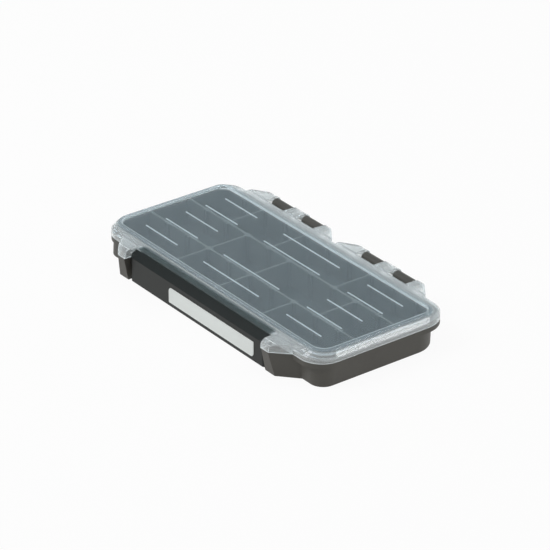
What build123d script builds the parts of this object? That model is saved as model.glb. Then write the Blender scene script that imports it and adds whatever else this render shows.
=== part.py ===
from build123d import *
import os

os.makedirs("parts", exist_ok=True)

# A shallow utility box for fishing tackle, closed and latched, in millimetres.
# X runs along the box, the latch faces -Y, the hinges are on +Y and the floor lies at Z = 0.

# Lid, whose outline sets where the tray, the ears, the latch and the hinges lie
lid_length = 232.2
lid_width = 107.8
lid_front_corner = 16.5
lid_back_corner = 20.0
skirt_thickness = 1.1
skirt_height = 3.25
panel_thickness = 1.6
shoulder_inset_end = 2.1
shoulder_inset_side = 4.2
shoulder_corner = 13.0
lid_gap = 0.15
lip_clearance = 0.3
lip_headroom = 0.3

# Tray
tray_end_margin = 3.5
tray_front_margin = 5.9
tray_back_margin = 9.3
tray_front_corner = 10.4
tray_back_corner = 17.2
tray_front_foot_corner = 9.6
tray_back_foot_corner = 19.5
parting_height = 16.2
floor_thickness = 1.8
wall_thickness = 2.8
wall_draft = 0.5
foot_radius = 0.6
rim_height = 3.4
rim_inset = 0.1
flange_thickness = 1.6
lip_height = 4.4
lip_thickness = 0.9

# Raised bead round the lid's panel, and the thin ridges on the panel
bead_end_margin = 3.3
bead_front_margin = 5.4
bead_back_margin = 9.3
bead_front_corner = 12.0
bead_back_corner = 8.0
bead_width = 3.3
bead_rise = 1.5
bead_round = 0.6
ridge_pitch = 16.1
ridge_shift = -1.2
ridge_height = 0.7
ridge_width = 0.9
outer_ridge_start = 58.4
outer_ridge_length = 35.6
middle_ridge_length = 59.4

# Seal strip between the tray's lip and the lid's skirt
seal_width = 1.2
seal_height = 1.6
seal_clearance = 0.15
seal_rib_width = 0.8

# Row walls and removable dividers, with the slots counted from the middle of each row
row_wall_thickness = 1.6
wall_drop = 0.3
slot_pitch = 22.8
slots_each_side = 4
slot_rib_width = 1.2
slot_rib_depth = 1.4
divider_thickness = 1.2
divider_clearance = 0.15
front_slots = (-2, 0, 2)
middle_slots = (-2, 0, 3)
back_slots = (-3, -1, 2)

# Latch bar
latch_half_length = 73.0
latch_reach = 7.3
latch_back_gap = 1.6
latch_wall = 2.0
latch_end_radius = 3.0
latch_foot = 0.4
latch_fold_rise = 1.2
latch_pivot_reach = 4.1
latch_pivot_rise = 1.8
latch_pin_radius = 1.4
latch_pin_length = 2.6
hook_count = 3
hook_spacing = 44.0
hook_length = 16.0
hook_thickness = 1.9
hook_gap = 0.25
hook_embed = 1.0
running_clearance = 0.06
held_clearance = 0.02

# Visor of the lid over the latch's crown
visor_reach = 1.7
visor_drop = 0.2
visor_thickness = 0.8
visor_clearance = 0.6

# Ears either side of the latch, and the lid's caps over them
ear_gap = 1.2
ear_wall = 1.8
ear_reach_top = 10.9
ear_reach_foot = 7.7
ear_width_top = 6.8
ear_width_foot = 9.6
ear_flare_top = 15.5
ear_flare_foot = 13.5
cap_wall = 1.3
cap_round = 4.5
cheek_gap = 0.4
cheek_thickness = 1.6

# Write-on label on the latch
label_length = 90.7
label_height = 11.0
label_end_margin = 11.3
label_foot_margin = 2.6
label_thickness = 0.3
label_corner = 3.0

# Hinges
hinge_reach = 6.5
hinge_rise = 1.4
knuckle_radius = 3.6
lobe_radius = 4.4
lobe_wall = 1.3
left_lobe_x = -52.1
right_lobe_x = 44.1
lobe_half_root = 44.3
lobe_half_edge = 29.5
lobe_corner = 6.0
first_window_shift = -25.2
second_window_shift = 7.1
window_width = 19.3
window_gap = 0.7
window_bevel_drop = 2.6
window_bevel_run = 2.9
knuckle_side_gap = 0.4
knuckle_lid_gap = 0.4
lobe_cheek = 1.6
hinge_pin_radius = 1.2
hinge_pin_overhang = 0.6
arm_top_gap = 0.35

# Heights worked out from the sizes above
rim_foot = parting_height - rim_height
lip_top = parting_height + lip_height
wall_top = lip_top - wall_drop
lid_foot = parting_height + lid_gap
shoulder_foot = lid_foot + skirt_height
panel_under = lip_top + lip_headroom
panel_top = panel_under + panel_thickness
visor_under = panel_top - visor_drop - visor_thickness
latch_crown = visor_under - visor_clearance
latch_fold = parting_height + latch_fold_rise
latch_pivot_z = parting_height + latch_pivot_rise
hinge_z = parting_height + hinge_rise

# Places worked out from the sizes above
lid_back = lid_width / 2
lid_front = -lid_back
tray_length = lid_length - 2 * tray_end_margin
tray_front = lid_front + tray_front_margin
tray_back = lid_back - tray_back_margin
bead_length = lid_length - 2 * bead_end_margin
bead_front = lid_front + bead_front_margin
bead_back = lid_back - bead_back_margin
row_depth = (tray_back - tray_front - 2 * row_wall_thickness) / 3
row_pitch = row_depth + row_wall_thickness
front_row_y = tray_front + row_depth / 2
row_slots = {"front": front_slots, "middle": middle_slots, "back": back_slots}
row_centres = {row: front_row_y + k * row_pitch for k, row in enumerate(row_slots)}
row_wall_centres = [front_row_y + row_pitch / 2, front_row_y + 3 * row_pitch / 2]
slot_width = divider_thickness + 2 * divider_clearance
slot_places = [slot_pitch * k for k in range(-slots_each_side, slots_each_side + 1)]
latch_front = lid_front - latch_reach
latch_back = lid_front - latch_back_gap
latch_pivot_y = lid_front - latch_pivot_reach
visor_edge = lid_front - visor_reach
cheek_inner = latch_half_length + cheek_gap
ear_inner = latch_half_length + ear_gap
ear_back = tray_front - wall_thickness / 2
ear_front_top = lid_front - ear_reach_top
ear_front_foot = lid_front - ear_reach_foot
ear_tip_top = ear_inner + ear_width_top
ear_tip_foot = ear_inner + ear_width_foot
ear_root_top = ear_tip_top + ear_flare_top
ear_root_foot = ear_tip_foot + ear_flare_foot
hinge_y = lid_back + hinge_reach
window_front = lid_back + window_gap
lobe_centres = (left_lobe_x, right_lobe_x)
windows = [x + shift for x in lobe_centres for shift in (first_window_shift, second_window_shift)]


def rounded(length, front, back, front_corner, back_corner):
    """Adds a rectangle that is centred in X and runs from front to back in Y, with round corners."""
    with BuildSketch() as plan:
        with Locations((0, (front + back) / 2)):
            Rectangle(length, back - front)
        fillet(plan.vertices().group_by(Axis.Y)[0], front_corner)
        fillet(plan.vertices().group_by(Axis.Y)[-1], back_corner)
    add(plan.sketch)


def tray_plan(grow):
    """Adds the tray's inside plan, grown outwards by the given amount."""
    rounded(
        tray_length + 2 * grow, tray_front - grow, tray_back + grow,
        tray_front_corner + grow, tray_back_corner + grow,
    )


def lid_plan(shrink):
    """Adds the lid's outer plan, drawn in by the given amount."""
    rounded(
        lid_length - 2 * shrink, lid_front + shrink, lid_back - shrink,
        lid_front_corner - shrink, lid_back_corner - shrink,
    )


def ear_solid(inset, bottom):
    """Makes one ear of the tray as a drafted block, drawn in by the given wall thickness."""
    with BuildPart() as ear:
        for level, front, tip, root in (
            (bottom, ear_front_foot, ear_tip_foot, ear_root_foot),
            (parting_height, ear_front_top, ear_tip_top, ear_root_top),
        ):
            with BuildSketch(Plane.XY.offset(level)):
                Polygon(
                    (ear_inner, ear_back), (ear_inner, front), (tip, front), (root, ear_back),
                    align=None,
                )
                if inset:
                    offset(amount=-inset, kind=Kind.INTERSECTION, mode=Mode.REPLACE)
        loft(ruled=True)
    return ear.part


def cap_solid(inset, bottom):
    """Makes one clear cap over an ear, drawn in by the given wall thickness."""
    with BuildPart() as cap:
        with BuildSketch(Plane.YZ.offset(cheek_inner)) as side:
            front = ear_front_top + inset
            root = lid_front if inset else ear_back
            Polygon(
                (front, bottom), (front, panel_top - inset), (root, panel_top - inset), (root, bottom),
                align=None,
            )
            fillet(side.vertices().group_by(Axis.X)[0].sort_by(Axis.Y)[-1], cap_round - inset)
        extrude(amount=ear_root_top - cheek_inner)
        with BuildSketch(Plane.XY):
            Polygon(
                (cheek_inner, ear_back), (cheek_inner, ear_front_top), (ear_tip_top, ear_front_top),
                (ear_root_top, ear_back),
                align=None,
            )
            if inset:
                offset(amount=-inset, kind=Kind.INTERSECTION, mode=Mode.REPLACE)
                with BuildSketch(mode=Mode.INTERSECT):
                    with Locations((cheek_inner + cheek_thickness, 0)):
                        Rectangle(lid_length, lid_length, align=(Align.MIN, Align.CENTER))
        extrude(amount=panel_top, mode=Mode.INTERSECT)
    return cap.part


def lobe_solid(centre, inset, root, bottom):
    """Makes one hinge lobe of the lid as a hood round the hinge axis, drawn in by inset."""
    with BuildPart() as lobe:
        radius = lobe_radius - inset
        with BuildSketch(Plane.YZ.offset(centre - lobe_half_root)):
            with BuildLine():
                Line((root, bottom), (root, panel_top - inset))
                Line((root, panel_top - inset), (hinge_y, hinge_z + radius))
                CenterArc((hinge_y, hinge_z), radius, 0, 90)
                Line((hinge_y + radius, hinge_z), (hinge_y + radius, bottom))
                Line((hinge_y + radius, bottom), (root, bottom))
            make_face()
        extrude(amount=2 * lobe_half_root)
        with BuildSketch(Plane.XY) as plan:
            edge = hinge_y + lobe_radius
            Polygon(
                (centre - lobe_half_root, tray_back), (centre - lobe_half_root, lid_back),
                (centre - lobe_half_edge, edge), (centre + lobe_half_edge, edge),
                (centre + lobe_half_root, lid_back), (centre + lobe_half_root, tray_back),
                align=None,
            )
            fillet(plan.vertices().group_by(Axis.Y)[-1], lobe_corner)
            if inset:
                offset(amount=-inset, kind=Kind.INTERSECTION, mode=Mode.REPLACE)
        extrude(amount=panel_top, mode=Mode.INTERSECT)
    return lobe.part


def pin_bores(radius, start, length):
    """Cuts a bore along the hinge axis."""
    with BuildSketch(Plane.YZ.offset(start)) as bore:
        with Locations((hinge_y, hinge_z)):
            Circle(radius)
    extrude(bore.sketch, amount=length, mode=Mode.SUBTRACT)


# Tray: one drafted shell with a flanged rim, a thin sealing lip, two row walls with slot ribs,
# two hollow ears beside the latch, and four hinge knuckles on arms
ear_outside = ear_solid(0, 0)
ear_hollow = ear_solid(ear_wall, floor_thickness)

with BuildPart() as base_tray:
    with BuildSketch(Plane.XY):
        foot_grow = wall_thickness - wall_draft
        rounded(
            tray_length + 2 * foot_grow, tray_front - foot_grow, tray_back + foot_grow,
            tray_front_foot_corner, tray_back_foot_corner,
        )
    with BuildSketch(Plane.XY.offset(parting_height)):
        tray_plan(wall_thickness)
    loft()
    fillet(base_tray.edges().group_by(Axis.Z)[0], foot_radius)

    with BuildSketch(Plane.XY.offset(rim_foot)):
        lid_plan(rim_inset)
    extrude(amount=rim_height)
    with BuildSketch(Plane.XY.offset(rim_foot)):
        lid_plan(rim_inset + flange_thickness)
        with BuildSketch(mode=Mode.SUBTRACT):
            tray_plan(wall_thickness)
    extrude(amount=rim_height - flange_thickness, mode=Mode.SUBTRACT)

    with BuildSketch(Plane.XY.offset(parting_height)):
        tray_plan(lip_thickness)
    extrude(amount=lip_top - parting_height)

    add(ear_outside)
    mirror(ear_outside, about=Plane.YZ)
    add(ear_hollow, mode=Mode.SUBTRACT)
    mirror(ear_hollow, about=Plane.YZ, mode=Mode.SUBTRACT)

    with BuildSketch(Plane.XY.offset(floor_thickness)):
        tray_plan(0)
    extrude(amount=lip_top, mode=Mode.SUBTRACT)

    with BuildSketch(Plane.XY.offset(floor_thickness)):
        for wall_y in row_wall_centres:
            with Locations((0, wall_y)):
                Rectangle(tray_length, row_wall_thickness)
        for row_y in row_centres.values():
            for slot_x in slot_places:
                for side_x in (-1, 1):
                    for side_y in (-1, 1):
                        rib_x = slot_x + side_x * (slot_width + slot_rib_width) / 2
                        rib_y = row_y + side_y * (row_depth - slot_rib_depth) / 2
                        with Locations((rib_x, rib_y)):
                            Rectangle(slot_rib_width, slot_rib_depth)
    extrude(amount=wall_top - floor_thickness)

    for window_x in windows:
        knuckle_x = window_x + knuckle_side_gap
        knuckle_width = window_width - 2 * knuckle_side_gap
        arm_root = lid_back - rim_inset - flange_thickness / 2
        arm_top = lid_foot - arm_top_gap
        with BuildSketch(Plane.YZ.offset(knuckle_x)):
            with Locations((hinge_y, hinge_z)):
                Circle(knuckle_radius)
            Polygon(
                (arm_root, rim_foot), (arm_root, arm_top), (hinge_y - knuckle_radius, arm_top),
                (hinge_y, hinge_z), (hinge_y, hinge_z - knuckle_radius),
                (hinge_y - knuckle_radius, rim_foot),
                align=None,
            )
        extrude(amount=knuckle_width)
        pin_bores(hinge_pin_radius + held_clearance, knuckle_x, knuckle_width)

base_tray.part.label = "base_tray"
export_step(base_tray.part, "parts/base_tray.step")


# Seal strip: a square rubber ring that lies on the rim outside the lip
with BuildPart() as rim_seal:
    seal_inner = lip_thickness + seal_clearance
    with BuildSketch(Plane.XY.offset(parting_height)):
        tray_plan(seal_inner + seal_width)
        with BuildSketch(mode=Mode.SUBTRACT):
            tray_plan(seal_inner)
    extrude(amount=seal_height)

rim_seal.part.label = "rim_seal"
export_step(rim_seal.part, "parts/rim_seal.step")


# Dividers: nine equal plates that slide down between the slot ribs
for row, places in row_slots.items():
    for number, place in enumerate(places, start=1):
        with BuildPart() as divider:
            with BuildSketch(Plane.XY.offset(floor_thickness)):
                with Locations((place * slot_pitch, row_centres[row])):
                    Rectangle(divider_thickness, row_depth - 2 * divider_clearance)
            extrude(amount=wall_top - floor_thickness)
        name = f"divider_{row}_{number}"
        divider.part.label = name
        export_step(divider.part, f"parts/{name}.step")


# Lid: one clear moulding with a skirt, a sloping shoulder, a raised bead, ridges, two ear caps
# whose cheeks carry the latch, a visor over the latch and two hinge lobes
cap_outside = cap_solid(0, lid_foot)
cap_hollow = cap_solid(cap_wall, 0)
lobes_outside = [lobe_solid(centre, 0, tray_back, lid_foot) for centre in lobe_centres]
lobes_hollow = [lobe_solid(centre, lobe_wall, lid_back, 0) for centre in lobe_centres]

with BuildPart() as lid:
    for lobe in lobes_outside:
        add(lobe)
    for lobe in lobes_hollow:
        add(lobe, mode=Mode.SUBTRACT)
    for window_x in windows:
        for cheek_x in (window_x - lobe_cheek, window_x + window_width):
            with BuildSketch(Plane.YZ.offset(cheek_x)):
                with Locations((hinge_y, hinge_z)):
                    Circle(lobe_radius)
                with BuildLine():
                    Polyline(
                        (lid_back - skirt_thickness, lid_foot),
                        (lid_back - skirt_thickness, panel_under),
                        (hinge_y, hinge_z + lobe_radius - lobe_wall / 2),
                        (hinge_y, lid_foot),
                        close=True,
                    )
                make_face()
            extrude(amount=lobe_cheek)
        with BuildSketch(Plane.YZ.offset(window_x)):
            window_back = hinge_y + 2 * lobe_radius
            Polygon(
                (window_front, 0), (window_front, panel_top - window_bevel_drop),
                (window_front - window_bevel_run, panel_top), (window_back, panel_top), (window_back, 0),
                align=None,
            )
        extrude(amount=window_width, mode=Mode.SUBTRACT)
        pin_bores(knuckle_radius + knuckle_lid_gap, window_x, window_width)

    with BuildSketch(Plane.XY.offset(lid_foot)):
        lid_plan(0)
    extrude(amount=shoulder_foot - lid_foot)
    with BuildSketch(Plane.XY.offset(shoulder_foot)):
        lid_plan(0)
    with BuildSketch(Plane.XY.offset(panel_top)):
        rounded(
            lid_length - 2 * shoulder_inset_end, lid_front + shoulder_inset_side,
            lid_back - shoulder_inset_side, shoulder_corner, shoulder_corner,
        )
    loft()

    add(cap_outside)
    mirror(cap_outside, about=Plane.YZ)
    add(cap_hollow, mode=Mode.SUBTRACT)
    mirror(cap_hollow, about=Plane.YZ, mode=Mode.SUBTRACT)

    with BuildSketch(Plane.YZ.offset(-cheek_inner)):
        Polygon(
            (tray_front, panel_top), (visor_edge, visor_under + visor_thickness),
            (visor_edge, visor_under), (lid_front + skirt_thickness, visor_under),
            (tray_front, panel_under),
            align=None,
        )
    extrude(amount=2 * cheek_inner)

    with BuildSketch(Plane.XY):
        lid_plan(skirt_thickness)
    extrude(amount=shoulder_foot, mode=Mode.SUBTRACT)
    with BuildSketch(Plane.XY):
        tray_plan(lip_thickness + lip_clearance)
    extrude(amount=panel_under, mode=Mode.SUBTRACT)

    with BuildSketch(Plane.XY.offset(parting_height + seal_height + lid_gap)):
        rib_inner = lip_thickness + seal_clearance + (seal_width - seal_rib_width) / 2
        tray_plan(rib_inner + seal_rib_width)
        with BuildSketch(mode=Mode.SUBTRACT):
            tray_plan(rib_inner)
    extrude(amount=shoulder_foot - parting_height - seal_height)

    with BuildSketch(Plane.XY.offset(panel_top)):
        rounded(bead_length, bead_front, bead_back, bead_front_corner, bead_back_corner)
        with BuildSketch(mode=Mode.SUBTRACT):
            rounded(
                bead_length - 2 * bead_width, bead_front + bead_width, bead_back - bead_width,
                bead_front_corner - bead_width, bead_back_corner - bead_width,
            )
    extrude(amount=bead_rise)
    fillet(lid.edges().group_by(Axis.Z)[-1], bead_round)

    with BuildSketch(Plane.XY.offset(panel_top)):
        outer_middle = outer_ridge_start + outer_ridge_length / 2
        for row in range(-2, 3):
            row_y = ridge_shift + row * ridge_pitch
            with Locations((-outer_middle, row_y), (outer_middle, row_y)):
                SlotOverall(outer_ridge_length, ridge_width)
            if row != 0:
                with Locations((0, row_y)):
                    SlotOverall(middle_ridge_length, ridge_width)
    extrude(amount=ridge_height)

    for centre in lobe_centres:
        bore_start = centre + first_window_shift - lobe_cheek
        bore_length = second_window_shift + window_width - first_window_shift + 2 * lobe_cheek
        pin_bores(hinge_pin_radius + running_clearance, bore_start, bore_length)
    with BuildSketch(Plane.YZ.offset(-cheek_inner - cheek_thickness)):
        with Locations((latch_pivot_y, latch_pivot_z)):
            Circle(latch_pin_radius + running_clearance)
    extrude(amount=2 * (cheek_inner + cheek_thickness), mode=Mode.SUBTRACT)

lid.part.label = "lid"
export_step(lid.part, "parts/lid.step")


# Hinge pins: one steel wire through both knuckles of a lobe
for number, centre in enumerate(lobe_centres, start=1):
    with BuildPart() as hinge_pin:
        pin_start = centre + first_window_shift - lobe_cheek - hinge_pin_overhang
        pin_end = centre + second_window_shift + window_width + lobe_cheek + hinge_pin_overhang
        with BuildSketch(Plane.YZ.offset(pin_start)):
            with Locations((hinge_y, hinge_z)):
                Circle(hinge_pin_radius)
        extrude(amount=pin_end - pin_start)
    hinge_pin.part.label = f"hinge_pin_{number}"
    export_step(hinge_pin.part, f"parts/hinge_pin_{number}.step")


# Latch: a black bar with a flat face and a sloping crown, closed at its ends, with a stub pin at
# each end and three hooks that reach under the tray's rim
with BuildPart() as latch:
    with BuildSketch(Plane.YZ.offset(-latch_half_length)):
        Polygon(
            (latch_front, latch_foot), (latch_front, latch_fold), (latch_back, latch_crown),
            (latch_back, latch_pivot_z - latch_wall), (latch_front + latch_wall, latch_foot),
            align=None,
        )
    extrude(amount=2 * latch_half_length)
    front_corners = latch.edges().filter_by(Axis.Z).group_by(Axis.Y)[0]
    fillet(front_corners, latch_end_radius)
    with BuildSketch(Plane.YZ.offset(-latch_half_length + latch_wall)):
        Polygon(
            (latch_front + latch_wall, latch_foot), (latch_front + latch_wall, latch_fold - latch_wall / 2),
            (latch_back, latch_crown - latch_wall), (latch_back, latch_foot),
            align=None,
        )
    extrude(amount=2 * (latch_half_length - latch_wall), mode=Mode.SUBTRACT)

    with BuildSketch(Plane.XY.offset(rim_foot - hook_gap - hook_thickness)):
        hook_tip = lid_front + rim_inset - hook_gap
        hook_root = latch_front + hook_embed
        with Locations((0, (hook_tip + hook_root) / 2)):
            with GridLocations(hook_spacing, 1, hook_count, 1):
                Rectangle(hook_length, hook_tip - hook_root)
    extrude(amount=hook_thickness)

    with BuildSketch(Plane.YZ.offset(-latch_half_length - latch_pin_length)):
        with Locations((latch_pivot_y, latch_pivot_z)):
            Circle(latch_pin_radius)
    extrude(amount=latch_pin_length + latch_wall)
    with BuildSketch(Plane.YZ.offset(latch_half_length - latch_wall)):
        with Locations((latch_pivot_y, latch_pivot_z)):
            Circle(latch_pin_radius)
    extrude(amount=latch_pin_length + latch_wall)

latch.part.label = "latch"
export_step(latch.part, "parts/latch.step")


# Write-on label: a blank white film on the latch's face
with BuildPart() as write_on_label:
    with BuildSketch(Plane.XZ.offset(-latch_front)) as face:
        with Locations((latch_half_length - label_end_margin, latch_foot + label_foot_margin)):
            Rectangle(label_length, label_height, align=(Align.MAX, Align.MIN))
        right_top = face.vertices().group_by(Axis.X)[-1].sort_by(Axis.Z)[-1]
        left_foot = face.vertices().group_by(Axis.X)[0].sort_by(Axis.Z)[0]
        fillet([right_top, left_foot], label_corner)
    extrude(amount=label_thickness)

write_on_label.part.label = "write_on_label"
export_step(write_on_label.part, "parts/write_on_label.step")
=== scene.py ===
import math
import bpy
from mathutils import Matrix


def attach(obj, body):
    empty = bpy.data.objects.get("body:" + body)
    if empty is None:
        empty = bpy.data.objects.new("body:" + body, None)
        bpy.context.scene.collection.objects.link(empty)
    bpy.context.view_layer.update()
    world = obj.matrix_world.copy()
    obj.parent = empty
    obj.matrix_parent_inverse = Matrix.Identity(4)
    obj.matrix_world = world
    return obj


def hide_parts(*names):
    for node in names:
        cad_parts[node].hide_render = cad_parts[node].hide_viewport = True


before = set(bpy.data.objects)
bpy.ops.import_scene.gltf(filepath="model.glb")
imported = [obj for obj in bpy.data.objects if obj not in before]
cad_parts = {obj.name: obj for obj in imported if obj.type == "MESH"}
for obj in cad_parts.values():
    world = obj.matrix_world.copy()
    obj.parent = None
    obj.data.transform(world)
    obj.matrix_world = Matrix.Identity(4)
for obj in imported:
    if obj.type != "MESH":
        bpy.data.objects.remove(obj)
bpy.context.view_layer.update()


# Studio: a white sweep under soft light, with the camera at the viewing angle of the photograph.
# It looks down at the box from its front right corner through a long lens.
MM = 0.001
camera_place = (1.4751, -1.1077, 0.9944)
camera_azimuth = math.radians(53.054)
camera_elevation = math.radians(27.960)
camera_data = bpy.data.cameras.new("camera")
camera_data.sensor_width = 36.0
camera_data.lens = 213.07
camera_data.clip_end = 20.0
camera = bpy.data.objects.new("camera", camera_data)
camera.location = camera_place
camera.rotation_euler = (math.pi / 2 - camera_elevation, 0.0, camera_azimuth)
bpy.context.scene.collection.objects.link(camera)
bpy.context.scene.camera = camera
bpy.context.scene.view_settings.view_transform = "Standard"


def soft_lamp(name, place, target, size, power):
    """Adds a square soft box that looks at the target."""
    data = bpy.data.lights.new(name, "AREA")
    data.shape = "SQUARE"
    data.size = size
    data.energy = power
    lamp = bpy.data.objects.new(name, data)
    lamp.location = place
    aim = [t - p for t, p in zip(target, place)]
    turn = math.atan2(-aim[0], aim[1])
    tilt = math.atan2(math.hypot(aim[0], aim[1]), -aim[2])
    lamp.rotation_euler = (tilt, 0.0, turn)
    bpy.context.scene.collection.objects.link(lamp)


# The key lamp stands at the front left. Three weaker ones, at the back right, at the back and at
# the left, add the glints on the edges.
middle = (0.0, 0.0, 0.012)
soft_lamp("key_lamp", (-0.55, -0.85, 0.95), middle, size=0.7, power=7.0)
soft_lamp("side_lamp", (0.82, 0.65, 0.66), middle, size=0.35, power=2.4)
soft_lamp("back_lamp", (-0.40, 0.95, 0.80), middle, size=0.6, power=0.8)
soft_lamp("edge_lamp", (-0.90, 0.33, 0.86), middle, size=0.3, power=0.8)


def colour(code):
    """Turns an sRGB hex code into the linear colour that shaders take."""
    parts = [int(code[k:k + 2], 16) / 255 for k in (1, 3, 5)]
    return tuple(p / 12.92 if p <= 0.04045 else ((p + 0.055) / 1.055) ** 2.4 for p in parts) + (1.0,)


def add_node(tree, kind, inputs=None, **settings):
    """Adds a shader node with its settings. Its inputs are plain values, or outputs to link."""
    node = tree.nodes.new(kind)
    for name, value in settings.items():
        setattr(node, name, value)
    for socket, value in (inputs or {}).items():
        if isinstance(value, bpy.types.NodeSocket):
            tree.links.new(value, node.inputs[socket])
        else:
            node.inputs[socket].default_value = value
    return node


def backdrop_rays(tree):
    """Gives 1 for rays that show the backdrop, seen, mirrored or through the clear lid, else 0."""
    rays = add_node(tree, "ShaderNodeLightPath").outputs
    mirrored = add_node(tree, "ShaderNodeMath", {0: rays["Is Camera Ray"], 1: rays["Is Glossy Ray"]},
                        operation="MAXIMUM")
    through = add_node(tree, "ShaderNodeMath", {0: mirrored.outputs[0], 1: rays["Is Transmission Ray"]},
                       operation="MAXIMUM")
    return through.outputs[0]


# The sweep is white low down and gives way to the dim ceiling of the studio, so that flat tops
# mirror the ceiling while upright walls mirror the sweep. Both heights are sines of the elevation.
sweep_top = 0.22
ceiling_foot = 0.42
fill_strength = 0.4
world = bpy.data.worlds.new("white_sweep")
bpy.context.scene.world = world
world.use_nodes = True
sky = world.node_tree
sky.nodes.clear()
gaze = add_node(sky, "ShaderNodeTexCoord")
rise = add_node(sky, "ShaderNodeSeparateXYZ", {0: gaze.outputs["Generated"]})
climb = add_node(sky, "ShaderNodeMapRange",
                 {"Value": rise.outputs["Z"], "From Min": sweep_top, "From Max": ceiling_foot})
ceiling = add_node(sky, "ShaderNodeMix", {0: climb.outputs[0], 6: colour("#ffffff"), 7: colour("#8a9da7")},
                   data_type="RGBA")
fill = add_node(sky, "ShaderNodeBackground", {"Color": colour("#ffffff"), "Strength": fill_strength})
shown = add_node(sky, "ShaderNodeBackground", {"Color": ceiling.outputs[2], "Strength": 1.0})
studio = add_node(sky, "ShaderNodeMixShader",
                  {0: backdrop_rays(sky), 1: fill.outputs[0], 2: shown.outputs[0]})
add_node(sky, "ShaderNodeOutputWorld", {"Surface": studio.outputs[0]})


def new_material(name):
    """Makes an empty node material, and gives it with its node tree."""
    material = bpy.data.materials.new(name)
    material.use_nodes = True
    material.node_tree.nodes.clear()
    return material, material.node_tree


# The paper shows as plain white, and keeps a part of its own shading for the box's shadow. It
# lies a hair below the tray, so that the two flat faces don't flicker through each other.
paper_width = 8.0
paper_drop = 0.05 * MM
paper_glow = 0.93
bpy.ops.object.select_all(action="DESELECT")
bpy.ops.mesh.primitive_plane_add(size=paper_width, location=(0.0, 0.0, -paper_drop))
floor = bpy.context.object
floor.name = "floor"
paper, tree = new_material("white_paper_sweep")
glow = add_node(tree, "ShaderNodeMath", {0: backdrop_rays(tree), 1: paper_glow}, operation="MULTIPLY")
matt = add_node(tree, "ShaderNodeBsdfDiffuse", {"Color": colour("#f4f4f4")})
white = add_node(tree, "ShaderNodeEmission", {"Color": colour("#ffffff"), "Strength": 1.0})
sheet = add_node(tree, "ShaderNodeMixShader", {0: glow.outputs[0], 1: matt.outputs[0], 2: white.outputs[0]})
add_node(tree, "ShaderNodeOutputMaterial", {"Surface": sheet.outputs[0]})
floor.data.materials.append(paper)


# Tray: one charcoal polypropylene moulding with its walls, rim, row walls, slot ribs, ears and
# knuckles. The spark-eroded mould leaves a fine matt grain with a faint sheen, the colour flows in
# slight clouds, and every hard edge has the mould's small radius.
polypropylene_ior = 1.49
tray_edge = 0.25 * MM
tray_cloud = 22 * MM

# Such a grain is about 0.1 mm wide, too fine to show, so it is drawn coarser.
tray_grain = 0.45 * MM
tray_grain_depth = 0.02 * MM

# The tops of the lip and the row walls are painted lighter, a painted highlight where they catch the light,
# but not the knuckles behind them.
highlight_top_from = 20.1 * MM
highlight_top_rise = 0.15 * MM
highlight_top_back = 50 * MM
painted_top_highlight_colour = colour("#8b8982")

charcoal, tree = new_material("moulded_charcoal_polypropylene")
place = add_node(tree, "ShaderNodeTexCoord").outputs["Object"]
cloud = add_node(tree, "ShaderNodeTexNoise", {"Vector": place, "Scale": 1 / tray_cloud, "Detail": 3.0})
plain = add_node(tree, "ShaderNodeMix", {0: cloud.outputs["Fac"], 6: colour("#484641"), 7: colour("#54524c")},
                 data_type="RGBA")
spot = add_node(tree, "ShaderNodeSeparateXYZ", {0: place})
high = add_node(tree, "ShaderNodeMapRange",
                {"Value": spot.outputs["Z"], "From Min": highlight_top_from, "From Max": highlight_top_from + highlight_top_rise})
ahead = add_node(tree, "ShaderNodeMath", {0: spot.outputs["Y"], 1: highlight_top_back}, operation="LESS_THAN")
painted_top_highlight = add_node(tree, "ShaderNodeMath", {0: high.outputs[0], 1: ahead.outputs[0]}, operation="MULTIPLY")
tint = add_node(tree, "ShaderNodeMix", {0: painted_top_highlight.outputs[0], 6: plain.outputs[2], 7: painted_top_highlight_colour},
                data_type="RGBA")
grain = add_node(tree, "ShaderNodeTexNoise", {"Vector": place, "Scale": 1 / tray_grain, "Detail": 2.0})
rough = add_node(tree, "ShaderNodeMapRange", {"Value": grain.outputs["Fac"], "To Min": 0.42, "To Max": 0.62})
bump = add_node(tree, "ShaderNodeBump",
                {"Height": grain.outputs["Fac"], "Strength": 0.5, "Distance": tray_grain_depth})
skin = add_node(tree, "ShaderNodeBsdfPrincipled",
                {"Base Color": tint.outputs[2], "Roughness": rough.outputs[0], "Normal": bump.outputs[0],
                 "IOR": polypropylene_ior})
add_node(tree, "ShaderNodeOutputMaterial", {"Surface": skin.outputs[0]})

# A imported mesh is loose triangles, so a copy is merged and its flat faces joined before its edges
# are rounded.
merge_distance = 0.002 * MM
flat_within = math.radians(0.5)
hard_from = math.radians(35)
smooth_within = math.radians(32)
flat_face_weight = 90


def round_edges(node, name, radius, body, material):
    """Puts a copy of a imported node, with its hard edges rounded, in the sharp solid's place."""
    piece = bpy.data.objects.new(name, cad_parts[node].data.copy())
    bpy.context.scene.collection.objects.link(piece)
    bpy.ops.object.select_all(action="DESELECT")
    piece.select_set(True)
    bpy.context.view_layer.objects.active = piece
    bpy.ops.object.mode_set(mode="EDIT")
    bpy.ops.mesh.select_all(action="SELECT")
    bpy.ops.mesh.remove_doubles(threshold=merge_distance)
    bpy.ops.mesh.dissolve_limited(angle_limit=flat_within)
    bpy.ops.object.mode_set(mode="OBJECT")
    rounding = piece.modifiers.new("rounding", "BEVEL")
    rounding.width = radius
    rounding.segments = 2
    rounding.limit_method = "ANGLE"
    rounding.angle_limit = hard_from
    bpy.ops.object.modifier_apply(modifier=rounding.name)
    bpy.ops.object.shade_smooth_by_angle(angle=smooth_within)
    flats = piece.modifiers.new("flats", "WEIGHTED_NORMAL")
    flats.keep_sharp = True
    flats.weight = flat_face_weight
    bpy.ops.object.modifier_apply(modifier=flats.name)
    piece.data.materials.clear()
    piece.data.materials.append(material)
    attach(piece, body)
    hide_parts(node)


round_edges("base_tray", "tray_moulding", tray_edge, "base", charcoal)


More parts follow.
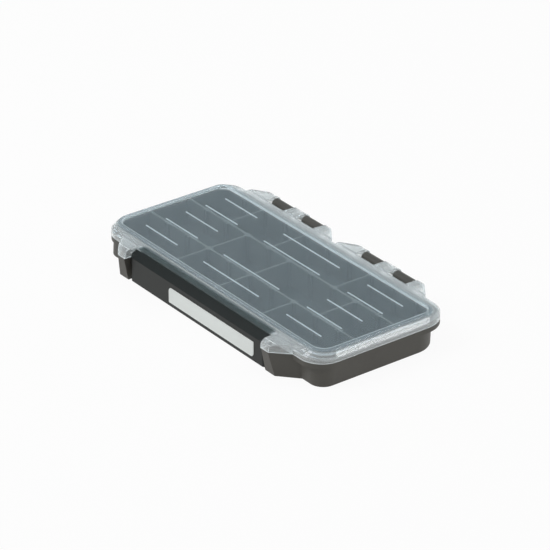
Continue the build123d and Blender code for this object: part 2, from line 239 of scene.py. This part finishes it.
# Dividers: nine loose plates of the tray's plastic, pushed down between the slot ribs. They come
# from another tool, polished smoother than the tray's, so their faces shine a little more.
divider_edge = 0.2 * MM
divider_flow = 6 * MM
smooth_charcoal, tree = new_material("smooth_charcoal_polypropylene")
place = add_node(tree, "ShaderNodeTexCoord").outputs["Object"]
flow = add_node(tree, "ShaderNodeTexNoise",
                {"Vector": place, "Scale": 1 / divider_flow, "Detail": 4.0, "Distortion": 1.2})
plain = add_node(tree, "ShaderNodeMix", {0: flow.outputs["Fac"], 6: colour("#4f4c47"), 7: colour("#625f58")},
                 data_type="RGBA")
spot = add_node(tree, "ShaderNodeSeparateXYZ", {0: place})
# Their tops get the same painted highlight as the tray's walls, a lighter colour where they catch the light.
painted_top_highlight = add_node(tree, "ShaderNodeMapRange",
                {"Value": spot.outputs["Z"], "From Min": highlight_top_from, "From Max": highlight_top_from + highlight_top_rise})
tint = add_node(tree, "ShaderNodeMix", {0: painted_top_highlight.outputs[0], 6: plain.outputs[2], 7: painted_top_highlight_colour},
                data_type="RGBA")
rough = add_node(tree, "ShaderNodeMapRange", {"Value": flow.outputs["Fac"], "To Min": 0.30, "To Max": 0.44})
skin = add_node(tree, "ShaderNodeBsdfPrincipled",
                {"Base Color": tint.outputs[2], "Roughness": rough.outputs[0], "IOR": polypropylene_ior})
add_node(tree, "ShaderNodeOutputMaterial", {"Surface": skin.outputs[0]})
for node in sorted(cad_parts):
    if node.startswith("divider"):
        round_edges(node, node.replace("divider", "divider_plate"), divider_edge, "base",
                    smooth_charcoal)


# Seal: a ring of soft grey silicone rubber, a little taller than wide in section, that lies on the
# tray's rim outside the lip. The lid's rib presses on it. Rubber is matt, with a dusty bloom.
silicone_ior = 1.41
seal_edge = 0.2 * MM
bloom_size = 5 * MM

# The real grain is finer than the render can show, so it is drawn coarser.
rubber_grain = 0.3 * MM
rubber_grain_depth = 0.02 * MM

rubber, tree = new_material("soft_grey_silicone_rubber")
place = add_node(tree, "ShaderNodeTexCoord").outputs["Object"]
bloom = add_node(tree, "ShaderNodeTexNoise", {"Vector": place, "Scale": 1 / bloom_size, "Detail": 4.0})
tint = add_node(tree, "ShaderNodeMix", {0: bloom.outputs["Fac"], 6: colour("#333331"), 7: colour("#4a4a48")},
                data_type="RGBA")
grain = add_node(tree, "ShaderNodeTexNoise", {"Vector": place, "Scale": 1 / rubber_grain})
bump = add_node(tree, "ShaderNodeBump",
                {"Height": grain.outputs["Fac"], "Strength": 0.4, "Distance": rubber_grain_depth})
skin = add_node(tree, "ShaderNodeBsdfPrincipled",
                {"Base Color": tint.outputs[2], "Roughness": 0.75, "Normal": bump.outputs[0],
                 "IOR": silicone_ior})
add_node(tree, "ShaderNodeOutputMaterial", {"Surface": skin.outputs[0]})
round_edges("rim_seal", "rubber_seal_ring", seal_edge, "base", rubber)


# Hinge pins: straight lengths of bright drawn steel wire, cut and pushed in from one end. The die
# leaves fine lines along the wire, which streak its shine.
pin_edge = 0.2 * MM

# Such lines are a few hundredths of a millimetre apart, too fine to show, so they are coarser.
draw_line = 0.12 * MM
draw_length = 14 * MM

steel, tree = new_material("bright_drawn_steel_wire")
place = add_node(tree, "ShaderNodeTexCoord").outputs["Object"]
stretch = add_node(tree, "ShaderNodeMapping",
                   {"Vector": place, "Scale": (1 / draw_length, 1 / draw_line, 1 / draw_line)})
lines = add_node(tree, "ShaderNodeTexNoise", {"Vector": stretch.outputs[0], "Scale": 1.0, "Detail": 3.0})
tint = add_node(tree, "ShaderNodeMix", {0: lines.outputs["Fac"], 6: colour("#b4b3b0"), 7: colour("#cfcecb")},
                data_type="RGBA")
rough = add_node(tree, "ShaderNodeMapRange", {"Value": lines.outputs["Fac"], "To Min": 0.22, "To Max": 0.42})
skin = add_node(tree, "ShaderNodeBsdfPrincipled",
                {"Base Color": tint.outputs[2], "Roughness": rough.outputs[0], "Metallic": 1.0})
add_node(tree, "ShaderNodeOutputMaterial", {"Surface": skin.outputs[0]})
for number in (1, 2):
    round_edges(f"hinge_pin_{number}", f"steel_hinge_wire_{number}", pin_edge, "base", steel)


# Lid: clear polypropylene, moulded in one piece with its bead, ridges, ear caps and hinge lobes,
# and hung on the hinge pins. The panel is polished clear and looks bluish over the dark tray.
# The bead and the sloping shoulder around it look milky, and the thin visor is painted greyer as painted
# shade.
lid_edge = 0.25 * MM
panel_half = (109.7 * MM, 43.5 * MM)
panel_middle = -1.9 * MM
panel_corner = 8.0 * MM
panel_top = 22.5 * MM
milk_blur = 1.2 * MM
ridge_foot = 0.15 * MM
ridge_blur = 0.3 * MM
painted_foot_highlight_top = 16.6 * MM
visor_half_length = 69 * MM
visor_from = 49 * MM
visor_blur = 3 * MM
lid_flow = 9 * MM
polished_clearness = 0.9
milky_clearness = 0.76
painted_highlight_clearness = 0.35
flow_change = 0.03

clear, tree = new_material("clear_polypropylene")
place = add_node(tree, "ShaderNodeTexCoord").outputs["Object"]
spot = add_node(tree, "ShaderNodeSeparateXYZ", {0: place})

# The panel's outline is a rectangle with rounded corners. Folded about its middle, only one corner
# is left. The reach is how far a spot lies outside the rectangle through the corners' centres.
corner_centre = (panel_half[0] - panel_corner, panel_half[1] - panel_corner, 0.0)
centred = add_node(tree, "ShaderNodeVectorMath", {0: place, 1: (0.0, -panel_middle, 0.0)}, operation="ADD")
flat = add_node(tree, "ShaderNodeVectorMath", {0: centred.outputs[0], 1: (1.0, 1.0, 0.0)},
                operation="MULTIPLY")
folded = add_node(tree, "ShaderNodeVectorMath", {0: flat.outputs[0]}, operation="ABSOLUTE")
past = add_node(tree, "ShaderNodeVectorMath", {0: folded.outputs[0], 1: corner_centre},
                operation="SUBTRACT")
beside = add_node(tree, "ShaderNodeVectorMath", {0: past.outputs[0], 1: (0.0, 0.0, 0.0)},
                  operation="MAXIMUM")
reach = add_node(tree, "ShaderNodeVectorMath", {0: beside.outputs[0]}, operation="LENGTH")
forward = add_node(tree, "ShaderNodeMath", {0: spot.outputs["Y"], 1: -1.0}, operation="MULTIPLY")
outward = add_node(tree, "ShaderNodeMath", {0: spot.outputs["X"]}, operation="ABSOLUTE")
down = add_node(tree, "ShaderNodeMath", {0: spot.outputs["Z"], 1: -1.0}, operation="MULTIPLY")

# Each zone of the lid starts softly at an edge: the rim, the raised bead and ridges, what lies in
# front of the panel and beside the visor, and the cut foot of the skirt.
zones = []
for value, edge, blur in ((reach.outputs["Value"], panel_corner, milk_blur),
                          (spot.outputs["Z"], panel_top + ridge_foot, ridge_blur),
                          (forward.outputs[0], visor_from, visor_blur),
                          (outward.outputs[0], visor_half_length, visor_blur),
                          (down.outputs[0], -painted_foot_highlight_top, ridge_blur)):
    zone = add_node(tree, "ShaderNodeMapRange", {"Value": value, "From Min": edge, "From Max": edge + blur})
    zones.append(zone.outputs[0])
rim, raised, in_front, at_the_ends, foot = zones
visor = add_node(tree, "ShaderNodeMath", {0: in_front, 1: at_the_ends}, operation="SUBTRACT", use_clamp=True)
border = add_node(tree, "ShaderNodeMath", {0: rim, 1: visor.outputs[0]}, operation="SUBTRACT",
                  use_clamp=True)
milk = add_node(tree, "ShaderNodeMath", {0: border.outputs[0], 1: raised}, operation="MAXIMUM")
ridge = add_node(tree, "ShaderNodeMath", {0: raised, 1: rim}, operation="SUBTRACT", use_clamp=True)

# The skirt's foot and the thin ridges are made the least clear, so that their pale colour paints a highlight
# along them.
lit = add_node(tree, "ShaderNodeMath", {0: ridge.outputs[0], 1: foot}, operation="MAXIMUM")
highlight_clouding = add_node(tree, "ShaderNodeMapRange",
                  {"Value": lit.outputs[0], "To Min": 1.0, "To Max": painted_highlight_clearness})
depth = add_node(tree, "ShaderNodeMapRange",
                 {"Value": milk.outputs[0], "To Min": polished_clearness, "To Max": milky_clearness})
even = add_node(tree, "ShaderNodeMath", {0: depth.outputs[0], 1: highlight_clouding.outputs[0]}, operation="MULTIPLY")
flow = add_node(tree, "ShaderNodeTexNoise",
                {"Vector": place, "Scale": 1 / lid_flow, "Detail": 3.0, "Distortion": 0.8})
drift = add_node(tree, "ShaderNodeMapRange",
                 {"Value": flow.outputs["Fac"], "To Min": -flow_change, "To Max": flow_change})
clearness = add_node(tree, "ShaderNodeMath", {0: even.outputs[0], 1: drift.outputs[0]}, operation="ADD")
rough = add_node(tree, "ShaderNodeMapRange", {"Value": flow.outputs["Fac"], "To Min": 0.06, "To Max": 0.12})
# The raised bead and ridges are tinted paler, a painted highlight, and the visor is tinted darker grey, a
# painted shade.
tint = colour("#d6e1e6")
for zone, zone_colour in ((milk.outputs[0], "#f1f4f4"), (raised, "#dcebf2"), (visor.outputs[0], "#848d8b")):
    tint = add_node(tree, "ShaderNodeMix", {0: zone, 6: tint, 7: colour(zone_colour)},
                    data_type="RGBA").outputs[2]
glass = add_node(tree, "ShaderNodeBsdfPrincipled",
                 {"Base Color": tint, "Roughness": rough.outputs[0], "IOR": polypropylene_ior,
                  "Transmission Weight": clearness.outputs[0], "Specular IOR Level": 0.35})
rays = add_node(tree, "ShaderNodeLightPath")
lamp_way = add_node(tree, "ShaderNodeBsdfTransparent", {"Color": colour("#f4f8fa")})
sheet = add_node(tree, "ShaderNodeMixShader",
                 {0: rays.outputs["Is Shadow Ray"], 1: glass.outputs[0], 2: lamp_way.outputs[0]})
add_node(tree, "ShaderNodeOutputMaterial", {"Surface": sheet.outputs[0]})
round_edges("lid", "clear_lid_moulding", lid_edge, "lid", clear)


# Latch: a black polypropylene bar that snaps its two stub pins into the lid's cheeks and turns
# down over the tray's front. Its mould is finer than the tray's, so it shines softly.
latch_edge = 0.35 * MM
latch_cloud = 22 * MM

# The real grain is finer than the render can show, so it is drawn coarser.
latch_grain = 0.35 * MM
latch_grain_depth = 0.015 * MM

black, tree = new_material("moulded_black_polypropylene")
place = add_node(tree, "ShaderNodeTexCoord").outputs["Object"]
cloud = add_node(tree, "ShaderNodeTexNoise", {"Vector": place, "Scale": 1 / latch_cloud, "Detail": 3.0})
tint = add_node(tree, "ShaderNodeMix", {0: cloud.outputs["Fac"], 6: colour("#131714"), 7: colour("#1b1f1c")},
                data_type="RGBA")
grain = add_node(tree, "ShaderNodeTexNoise", {"Vector": place, "Scale": 1 / latch_grain, "Detail": 2.0})
rough = add_node(tree, "ShaderNodeMapRange", {"Value": grain.outputs["Fac"], "To Min": 0.32, "To Max": 0.46})
bump = add_node(tree, "ShaderNodeBump",
                {"Height": grain.outputs["Fac"], "Strength": 0.3, "Distance": latch_grain_depth})
skin = add_node(tree, "ShaderNodeBsdfPrincipled",
                {"Base Color": tint.outputs[2], "Roughness": rough.outputs[0], "Normal": bump.outputs[0],
                 "IOR": polypropylene_ior, "Specular IOR Level": 0.3})
add_node(tree, "ShaderNodeOutputMaterial", {"Surface": skin.outputs[0]})
round_edges("latch", "black_latch_bar", latch_edge, "latch", black)


# Label: a blank area of matt white film on the latch's face, to write the contents on. It is
# bonded flat to the bar, and its paper-like coat takes a pencil.
film_ior = 1.49
label_edge = 0.08 * MM

# The real coat is finer than the render can show, so it is drawn coarser.
coat_grain = 0.4 * MM

film, tree = new_material("matt_white_write_on_film")
place = add_node(tree, "ShaderNodeTexCoord").outputs["Object"]
grain = add_node(tree, "ShaderNodeTexNoise", {"Vector": place, "Scale": 1 / coat_grain, "Detail": 2.0})
tint = add_node(tree, "ShaderNodeMix", {0: grain.outputs["Fac"], 6: colour("#e8eeeb"), 7: colour("#f4f8f6")},
                data_type="RGBA")
skin = add_node(tree, "ShaderNodeBsdfPrincipled",
                {"Base Color": tint.outputs[2], "Roughness": 0.55, "IOR": film_ior})
add_node(tree, "ShaderNodeOutputMaterial", {"Surface": skin.outputs[0]})
round_edges("write_on_label", "white_label_film", label_edge, "latch", film)
